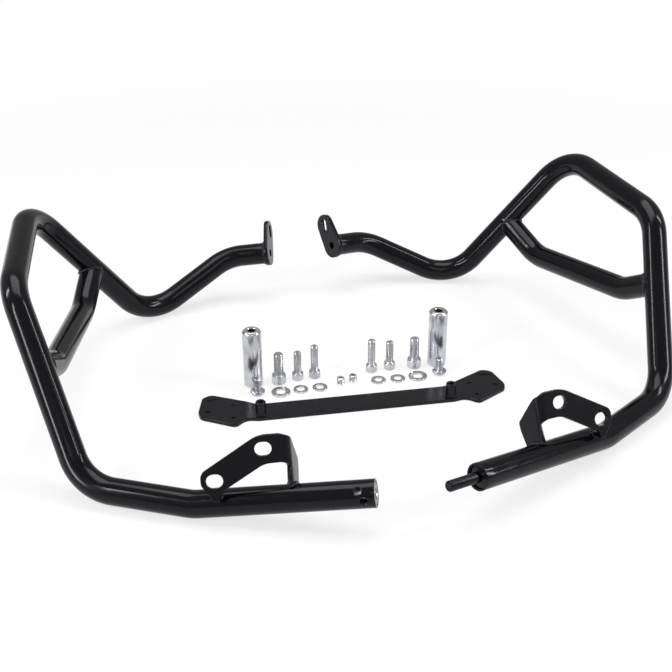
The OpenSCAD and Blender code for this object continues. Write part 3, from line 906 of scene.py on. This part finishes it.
# Bosses on the brace: a blind threaded bore and a softened top edge, whose steps are set off from radius
# and height
boss = {
    "place": 99.0, "radius": 5.25, "height": 15.0, "bore": 3.0, "floor": 2.0, "sides": 64,
    "pitch": 1.0, "threadDepth": 0.5, "threadFrom": 2.2, "threadTo": 0.4,
    "topEdge": [[-0.95, 0], [-0.75, -0.1], [-0.1, -0.85], [0, -1.1]], "sunk": 0.2,
    "weldOut": 0.3, "weldUp": 0.35, "weldSize": 0.42,
}
bosses, bossWelds = [], []
for sign in (-1, 1):
    b = boss
    place = braceOrigin + sign * b["place"] * braceAxes[0] + [0, 0, brace["thick"]]
    rows = [(0.0, b["floor"]), (b["bore"], b["floor"])]
    rows += threadRows(b["bore"] + 0.25, b["threadDepth"], b["pitch"], b["threadFrom"],
                       b["height"] - b["threadTo"], 0.0, b["sides"])
    rows += [(b["bore"] + 0.5, b["height"])] + offRows(b["radius"], b["height"], b["topEdge"])
    rows += [(b["radius"], -b["sunk"])]
    bosses.append((lathe(rows, place, braceAxes, b["sides"]), False, True))
    ring = lathe([(b["radius"] + b["weldOut"], b["weldUp"])], place, braceAxes, 72)[0]
    bossWelds.append(weldBead(ring, True, b["weldSize"]))
addPiece("bosses", meshOfGrids("bosses", bosses), satin, ["brace_bosses"])
print("brace and bosses made")

# Pad that carries the outer end of a bracket: a squared stub with centre, half size and corner power,
# straight back from inside the plate on to the tube
bracketPad = {
    "centre": [63.4, 8.4], "half": [3.4, 2.7], "power": 0.45, "from": -2.2, "sink": 0.3, "points": 48,
}


# Grid of the pad with closed ends, its end ring and its direction. The ring is a superellipse: half size
# times the cosine and sine, each to the corner power
def padGrid():
    v = bracketPad
    a = np.arange(v["points"]) * tau / v["points"]
    c, d = np.cos(a), np.sin(a)
    u = v["centre"][0] + v["half"][0] * np.sign(c) * np.abs(c) ** v["power"]
    z = v["centre"][1] + v["half"][1] * np.sign(d) * np.abs(d) ** v["power"]
    ring = folded(np.stack([u, z, np.full(v["points"], v["from"])], axis=1))
    nearEnd, farEnd = folded(np.array([[*v["centre"], v["from"]], [*v["centre"], v["from"] - 1]]))
    way = unit(farEnd - nearEnd)
    end = slideToTube(ring, way, rightTip, rightTip + 100 * endAxes[0], tubes["radius"] - v["sink"])
    caps = [np.repeat(row.mean(axis=0)[None], v["points"], axis=0) for row in (ring, end)]
    return np.stack([caps[0], ring, end, caps[1]]), end, way


# Where the beads run, in mm off the surfaces, and their sizes as shares of the seam's
welds = {
    "crossIn": 1.2, "crossOut": 0.2, "tabUp": 0.6, "tabOut": 0.2, "tabSize": 0.72,
    "foot": [1.2, -17.2], "footOut": 0.3, "footSides": (-3.1, 3.1), "footSize": 0.72,
    "padBack": 0.8, "padSize": 0.75, "sharpAngle": 60,
}


# Beads of the right side: round both joints of the cross tube, where the tab meets its tube, along both
# faces of the bracket's foot and round its pad, each as (line, closed, size)
def seamLines(padEnd, padWay):
    v = welds
    crossRadius, hostRadius = crossTubes["radius"] - v["crossIn"], tubes["radius"] + v["crossOut"]
    lines = [(jointLine(atStart, crossRadius, host, hostRadius), True, 1.0)
             for atStart, host in zip((True, False), crossHosts)]
    tabRing = lathe([(tubes["radius"] + v["tabOut"], v["tabUp"])], upperTip, turningAxes, 120)[0]
    lines.append((tabRing, True, v["tabSize"]))
    u = np.linspace(*v["foot"], 30)
    for w in v["footSides"]:
        height = tubeTop(u, tubes["radius"] + v["footOut"])
        lines.append((folded(np.stack([u, height, np.full(len(u), w)], axis=1)), False, v["footSize"]))
    lines.append((padEnd - v["padBack"] * padWay, True, v["padSize"]))
    return lines


grid, padEnd, padWay = padGrid()
for side, (flip, tip) in sides.items():
    addPiece(side + "Pad", meshOfGrids(side + "Pad", [(flip(grid), False, True)]), satin)
    beads = [weldBead(flip(line), closed, size) for line, closed, size in seamLines(padEnd, padWay)]
    mesh = meshOfGrids(side + "Welds", beads, welds["sharpAngle"])
    addPiece(side + "Welds", mesh, weld)
addPiece("bossWelds", meshOfGrids("bossWelds", bossWelds, welds["sharpAngle"]), weld)
print("pads and welds made")

# Plug and turned pin in the right end. The steps of each edge are set off from its radius and its height,
# and the dimple's from the middle of the tip
spigot = {
    "plug": 10.4, "plugLength": 28.0, "recess": 1.5, "pin": 5.0, "pinLength": 35.0,
    "innerEdge": [[-0.5, 0], [0, -0.5]], "outerEdge": [[0, 0.5], [-0.1, 0.15], [-0.5, 0]],
    "pinRoot": [[0.6, 0], [0.15, -0.15], [0, -0.6]],
    "pinTip": [[0, 1.2], [-0.1, 0.95], [-0.9, 0.1], [-1.1, 0]],
    "dimple": [[1.6, 0], [1.3, 0.2], [0, 1.2]],
}
farFace, nearFace, pinEnd = spigot["recess"] + spigot["plugLength"], spigot["recess"], -spigot["pinLength"]
rows = [(0.0, farFace)] + offRows(spigot["plug"], farFace, spigot["innerEdge"])
rows += offRows(spigot["plug"], nearFace, spigot["outerEdge"])
rows += offRows(spigot["pin"], nearFace, spigot["pinRoot"])
rows += offRows(spigot["pin"], pinEnd, spigot["pinTip"])
rows += offRows(0.0, pinEnd, spigot["dimple"])
mesh = meshOfGrids("spigot", [(lathe(rows, rightTip, turningAxes), False, True)], 40)
addPiece("spigot", mesh, satin, ["right_end_spigot"])

# Bush in the left end: a bare ring round the bore, and a painted sleeve round that, drilled under both
# grub holes
bush = {
    "bore": 5.3, "ring": 6.8, "outer": 10.4, "length": 40.0, "chamfer": 1.1, "ringEdge": 0.1,
    "recess": 0.15, "sleeveEdge": 0.5, "gap": 0.02, "shorter": 0.1,
}
bore, outer, length, face = bush["bore"], bush["outer"], bush["length"], bush["recess"]
rows = [(bore, length), (bore, bush["chamfer"]), (bore + bush["chamfer"], 0.0),
        (bush["ring"] - bush["ringEdge"], 0.0), (bush["ring"], bush["ringEdge"]), (bush["ring"], length)]
ringMesh = meshOfGrids("bushRing", [(mirrored(lathe(rows, leftTip, turningAxes)), True, True)])
inner, inside = bush["ring"] + bush["gap"], length - bush["shorter"]
rows = [(inner, inside), (inner, face), (outer - bush["sleeveEdge"], face),
        (outer, face + bush["sleeveEdge"]), (outer, inside)]
sleeveMesh = meshOfGrids("bushSleeve", [(mirrored(lathe(rows, leftTip, turningAxes)), True, True)])
sleeveMesh = drilled(sleeveMesh, holeCutters(grubHoles["drill"], *grubHoles["bushCut"]))
addPiece("bushRing", ringMesh, steel, ["left_end_bush"])
addPiece("bushSleeve", sleeveMesh, satin)
print("spigot and bush made")

# Loose pieces on the floor: places as x and y in mm, screw sizes as diameter and length, washers as outer
# diameter, hole and thickness
loose = {
    "spacer": {"radius": 10.0, "bore": 4.25, "chamfer": 2.0, "length": 66.0, "countersink": 0.8,
               "places": {"left": [-102.5, 29.5], "right": [99.5, 18.5]}},
    "largeCap": [[-75.5, 27], [74, 20]], "largeCapSize": (10, 25),
    "shortCap": [[-54.5, 28.5], [47, 23.5]], "shortCapSize": (8, 25),
    "longCap": [[-36, 28], [26.5, 23.5]], "longCapSize": (8, 30),
    "button": [[-102.5, 9], [95, -3]], "buttonSize": (8, 15),
    "grub": [[-13, 6], [1, 7.5]], "grubSize": (8, 8),
    "largeWasher": [[-78.5, 5], [70.5, -3]], "largeWasherSize": (20, 10.5, 2.0),
    "smallWasher": [[-57, 5], [-36.5, 3.5], [27.5, 1], [48.5, -1.5]], "smallWasherSize": (16, 8.4, 1.6),
}
for side, place in loose["spacer"]["places"].items():
    mesh = meshOfGrids(side + "Spacer", [spacer(place, loose["spacer"])], 30)
    addPiece(side + "Spacer", mesh, plated, [side + "_spacer"])
sets = {
    "largeCapScrews": ("large_cap_screws", capScrew, "largeCap"),
    "shortCapScrews": ("short_cap_screws", capScrew, "shortCap"),
    "longCapScrews": ("long_cap_screws", capScrew, "longCap"),
    "buttonScrews": ("button_screws", buttonScrew, "button"),
    "grubScrews": ("grub_screws", grubScrew, "grub"),
    "largeWashers": ("large_washers", washer, "largeWasher"),
    "smallWashers": ("small_washers", washer, "smallWasher"),
}
for name, (node, shape, kind) in sets.items():
    grids = [shape(place, *loose[kind + "Size"]) for place in loose[kind]]
    addPiece(name, meshOfGrids(name, grids, 40), plated, [node])
print("spacers, screws and washers made")

# Floor, light and camera. The floor seen by the camera is partly plain white: the share whiteNear within
# nearRadius of the set, in metres, which keeps the shadow, rising to all of it at whiteRadius
stage = {"floorHalf": 6.0, "worldStrength": 0.15, "worldInGloss": 0.35}
floorPaint = {"colour": (243, 243, 244), "whiteNear": 0.7, "nearRadius": 0.55, "whiteRadius": 1.3}


# Pale floor: its shader mixed with plain white by the share at that distance, for the rays that look at
# the picture
def studioFloor():
    n = Nodes("studioFloor")
    v = floorPaint
    n.set(Base_Color=linear(*v["colour"]), Roughness=0.9, Specular_IOR_Level=0.1)
    white = n.add("ShaderNodeEmission", {"Color": (1, 1, 1, 1), "Strength": 1.0})
    ray = n.add("ShaderNodeLightPath")
    seen = n.add("ShaderNodeMath", {0: ray.outputs["Is Camera Ray"], 1: ray.outputs["Is Transmission Ray"]},
                 operation="MAXIMUM")
    seen = n.add("ShaderNodeMath", {0: seen.outputs[0], 1: ray.outputs["Is Glossy Ray"]}, operation="MAXIMUM")
    far = n.add("ShaderNodeVectorMath", {0: n.coords()}, operation="LENGTH")
    share = n.between(far.outputs["Value"], v["whiteNear"], 1.0, v["nearRadius"], v["whiteRadius"])
    share = n.add("ShaderNodeMath", {0: seen.outputs[0], 1: share}, operation="MULTIPLY")
    mix = n.add("ShaderNodeMixShader", {0: share.outputs[0], 1: n.shader.outputs[0], 2: white.outputs[0]})
    n.feed(n.tree.nodes["Material Output"].inputs["Surface"], mix.outputs[0])
    return n.material


h = stage["floorHalf"]
floorMesh = bpy.data.meshes.new("floor")
floorMesh.from_pydata([(-h, -h, 0), (h, -h, 0), (h, h, 0), (-h, h, 0)], [], [(0, 1, 2, 3)])
floor = bpy.data.objects.new("floor", floorMesh)
floorMesh.materials.append(studioFloor())
bpy.context.scene.collection.objects.link(floor)

# The world is a weak fill for the object, and plain white behind it
world = bpy.data.worlds.new("studio")
bpy.context.scene.world = world
world.use_nodes = True
tree = world.node_tree
back = tree.nodes["Background"]
back.inputs["Color"].default_value = (1, 1, 1, 1)
ray = tree.nodes.new("ShaderNodeLightPath")
inGloss = tree.nodes.new("ShaderNodeMath")
inGloss.operation = "MULTIPLY"
inGloss.inputs[1].default_value = stage["worldInGloss"]
tree.links.new(ray.outputs["Is Glossy Ray"], inGloss.inputs[0])
seen = inGloss
for kind in ("Is Camera Ray", "Is Transmission Ray"):
    more = tree.nodes.new("ShaderNodeMath")
    more.operation = "MAXIMUM"
    tree.links.new(ray.outputs[kind], more.inputs[0])
    tree.links.new(seen.outputs[0], more.inputs[1])
    seen = more
strength = tree.nodes.new("ShaderNodeMapRange")
strength.inputs["To Min"].default_value = stage["worldStrength"]
strength.inputs["To Max"].default_value = 1.0
tree.links.new(seen.outputs[0], strength.inputs["Value"])
tree.links.new(strength.outputs["Result"], back.inputs["Strength"])

# Lamps: place and aim in metres, width and height of each panel
lamps = {
    "overhead": {"place": (0.0, 0.35, 1.75), "aim": (0.0, 0.0, 0.0), "size": (1.5, 1.05), "watts": 19},
    "leftFront": {"place": (-1.5, -0.7, 0.74), "aim": (0.0, 0.0, 0.1), "size": (0.18, 1.3), "watts": 15},
    "leftBack": {"place": (-1.5, 0.25, 1.15), "aim": (0.0, 0.0, 0.1), "size": (0.15, 0.8), "watts": 8},
    "rightFront": {"place": (1.5, -0.85, 0.95), "aim": (0.0, 0.0, 0.1), "size": (0.18, 1.2), "watts": 14},
    "rightBack": {"place": (1.5, -0.2, 1.6), "aim": (0.0, 0.0, 0.1), "size": (0.15, 0.8), "watts": 8},
    "front": {"place": (-0.2, -1.8, 1.5), "aim": (0.0, 0.0, 0.0), "size": (1.4, 0.35), "watts": 5},
}
for name, v in lamps.items():
    data = bpy.data.lights.new(name, "AREA")
    data.shape = "RECTANGLE"
    data.size, data.size_y = v["size"]
    data.energy = v["watts"]
    lamp = bpy.data.objects.new(name, data)
    bpy.context.scene.collection.objects.link(lamp)
    z = unit(np.array(v["place"]) - np.array(v["aim"]))
    x = unit(np.cross([0.0, 0.0, 1.0], z))
    y = np.cross(z, x)
    rows = np.column_stack([x, y, z, v["place"]]).tolist()
    lamp.matrix_world = Matrix([*rows, [0, 0, 0, 1]])

# Camera: place in metres, angles in degrees, lens and sensor in mm
view = {
    "place": (-0.2924, -0.98815, 0.6166), "heading": -15.43, "tilt": 61.58, "roll": -0.23,
    "lens": 60.42, "sensor": 36, "clip": 0.05,
}
cameraData = bpy.data.cameras.new("camera")
cameraData.lens = view["lens"]
cameraData.sensor_width = view["sensor"]
cameraData.clip_start = view["clip"]
camera = bpy.data.objects.new("camera", cameraData)
bpy.context.scene.collection.objects.link(camera)
heading = Matrix.Rotation(math.radians(view["heading"]), 4, "Z")
tilt = Matrix.Rotation(math.radians(view["tilt"]), 4, "X")
roll = Matrix.Rotation(math.radians(view["roll"]), 4, "Z")
camera.matrix_world = Matrix.Translation(view["place"]) @ (heading @ tilt) @ roll
bpy.context.scene.camera = camera
bpy.context.scene.view_settings.view_transform = "Standard"
print("stage, lamps and camera set")
